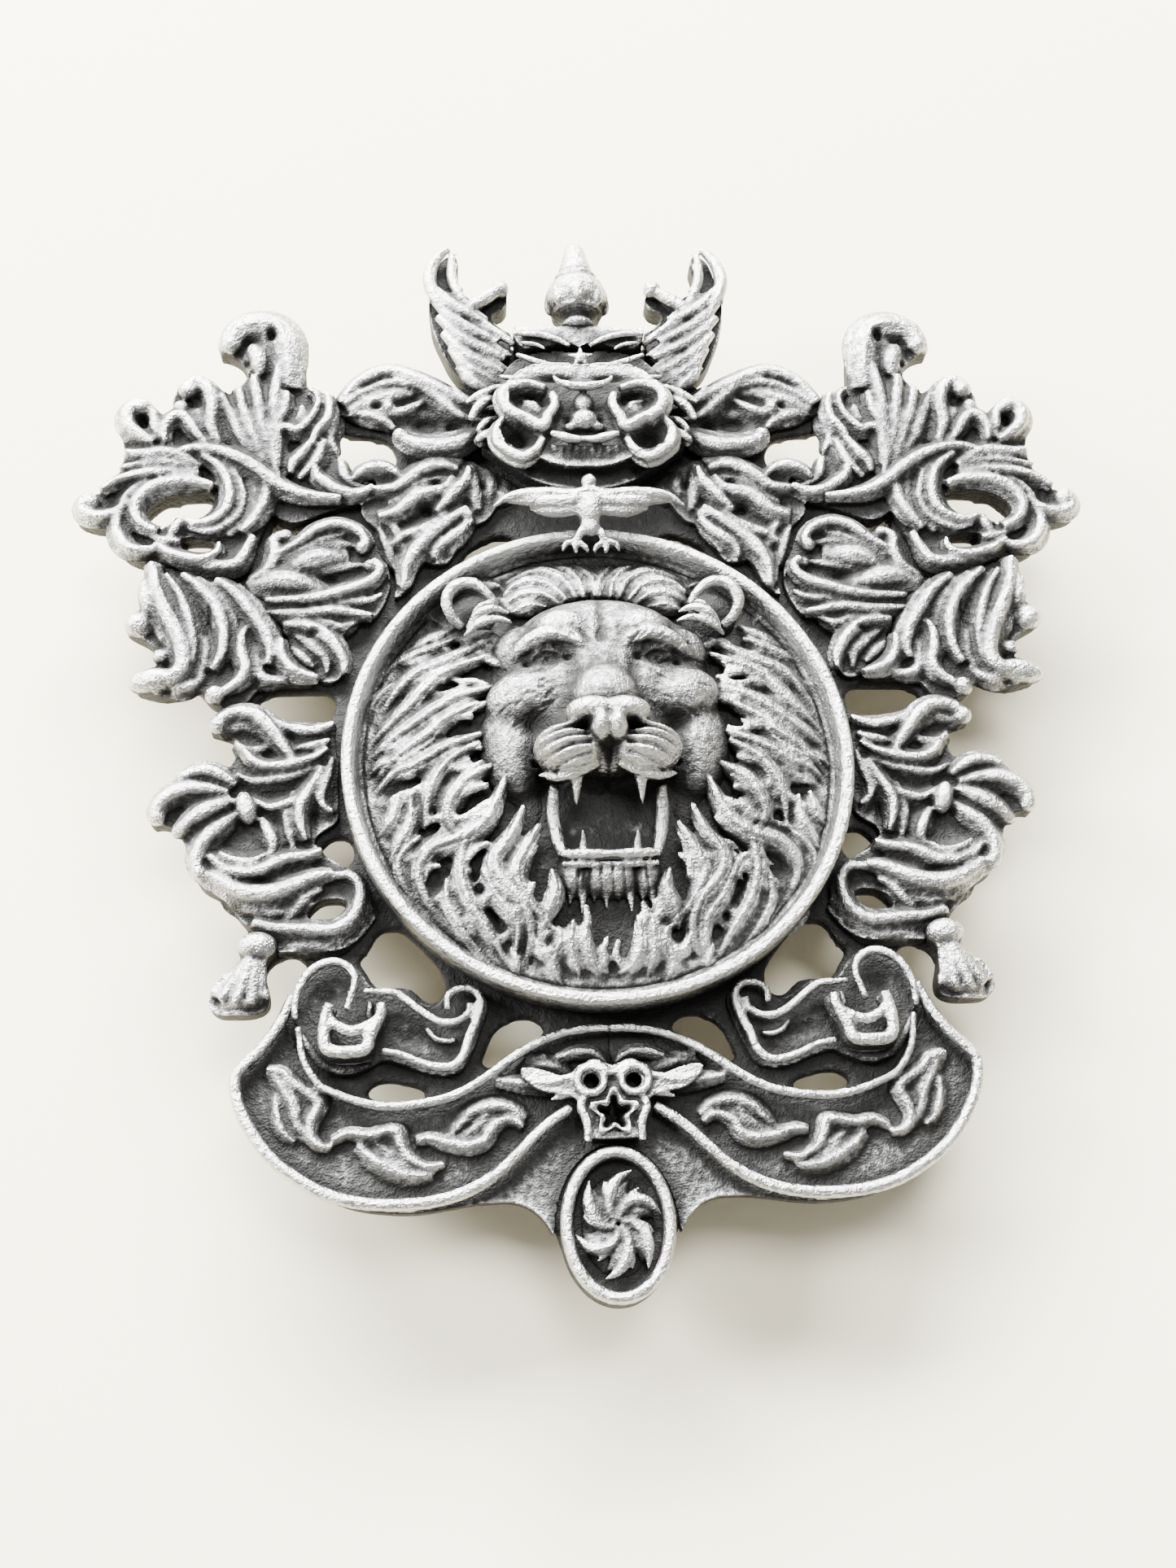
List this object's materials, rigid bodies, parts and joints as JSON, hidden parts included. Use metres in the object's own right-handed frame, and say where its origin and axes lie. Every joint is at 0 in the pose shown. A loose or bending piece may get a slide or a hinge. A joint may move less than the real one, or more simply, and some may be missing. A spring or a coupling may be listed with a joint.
{
  "type": "cap badge",
  "caption": "Ornate cast metal cap badge: a roaring lion in a round frame amid pierced leaf scrolls, on screw posts with nuts.",
  "frame": {"origin": "centre of the round frame, on the back face that meets the cap", "axes": "+X to the viewer's right when the badge is seen from the front, +Y towards the crest, +Z out of the front"},
  "size_m": [0.0798, 0.0866, 0.0172],
  "materials": {
    "pewter": "antiqued satin",
    "roundel_pewter": "antiqued satin, rubbed brighter",
    "plated_steel": "satin plate"
  },
  "bodies": {
    "badge": {"backplate": "pewter", "banner_left": "pewter", "banner_right": "pewter", "buckle_left": "pewter", "buckle_right": "pewter", "crest_collar": "pewter", "crest_finial": "pewter", "crest_leaf_left": "pewter", "crest_leaf_right": "pewter", "crest_mask": "pewter", "crest_wing_left": "pewter", "crest_wing_right": "pewter", "eagle": "pewter", "inner_leaf_left": "pewter", "inner_leaf_right": "pewter", "leaf_whirl": "pewter", "lion_ear_left": "roundel_pewter", "lion_ear_right": "roundel_pewter", "lion_head": "roundel_pewter", "lion_jaw": "roundel_pewter", "lion_mane": "roundel_pewter", "medallion": "pewter", "palm_spray_left": "pewter", "palm_spray_right": "pewter", "post_left": "plated_steel", "post_lower": "plated_steel", "post_right": "plated_steel", "roundel_dish": "roundel_pewter", "roundel_rim": "roundel_pewter", "shell_leaf_left": "pewter", "shell_leaf_right": "pewter", "side_leaf_left": "pewter", "side_leaf_right": "pewter", "star_clasp": "pewter", "strap_left": "pewter", "strap_right": "pewter", "tassel_left": "pewter", "tassel_right": "pewter", "upper_scroll_left": "pewter", "upper_scroll_right": "pewter"},
    "washer_left": {"washer_left": "plated_steel"},
    "nut_left": {"nut_left": "plated_steel"},
    "washer_right": {"washer_right": "plated_steel"},
    "nut_right": {"nut_right": "plated_steel"},
    "washer_lower": {"washer_lower": "plated_steel"},
    "nut_lower": {"nut_lower": "plated_steel"}
  },
  "joints": [
    {"name": "washer_left_slide", "type": "slide", "parent": "badge", "child": "washer_left", "axis": [0, 0, -1], "range_m": [0, 0.0075]},
    {"name": "nut_left_turn", "type": "hinge", "parent": "washer_left", "child": "nut_left", "pos_m": [-0.0245, 0.0255, 0], "axis": [0, 0, -1], "range_deg": [0, 5401]},
    {"name": "washer_right_slide", "type": "slide", "parent": "badge", "child": "washer_right", "axis": [0, 0, -1], "range_m": [0, 0.0075]},
    {"name": "nut_right_turn", "type": "hinge", "parent": "washer_right", "child": "nut_right", "pos_m": [0.0245, 0.0255, 0], "axis": [0, 0, -1], "range_deg": [0, 5401]},
    {"name": "washer_lower_slide", "type": "slide", "parent": "badge", "child": "washer_lower", "axis": [0, 0, -1], "range_m": [0, 0.0075]},
    {"name": "nut_lower_turn", "type": "hinge", "parent": "washer_lower", "child": "nut_lower", "pos_m": [0, -0.0255, 0], "axis": [0, 0, -1], "range_deg": [0, 5401]}
  ],
  "couplings": [
    {"joint": "nut_left_turn", "follows": "washer_left_slide", "rad_per_m": 12566},
    {"joint": "nut_right_turn", "follows": "washer_right_slide", "rad_per_m": 12566},
    {"joint": "nut_lower_turn", "follows": "washer_lower_slide", "rad_per_m": 12566}
  ]
}
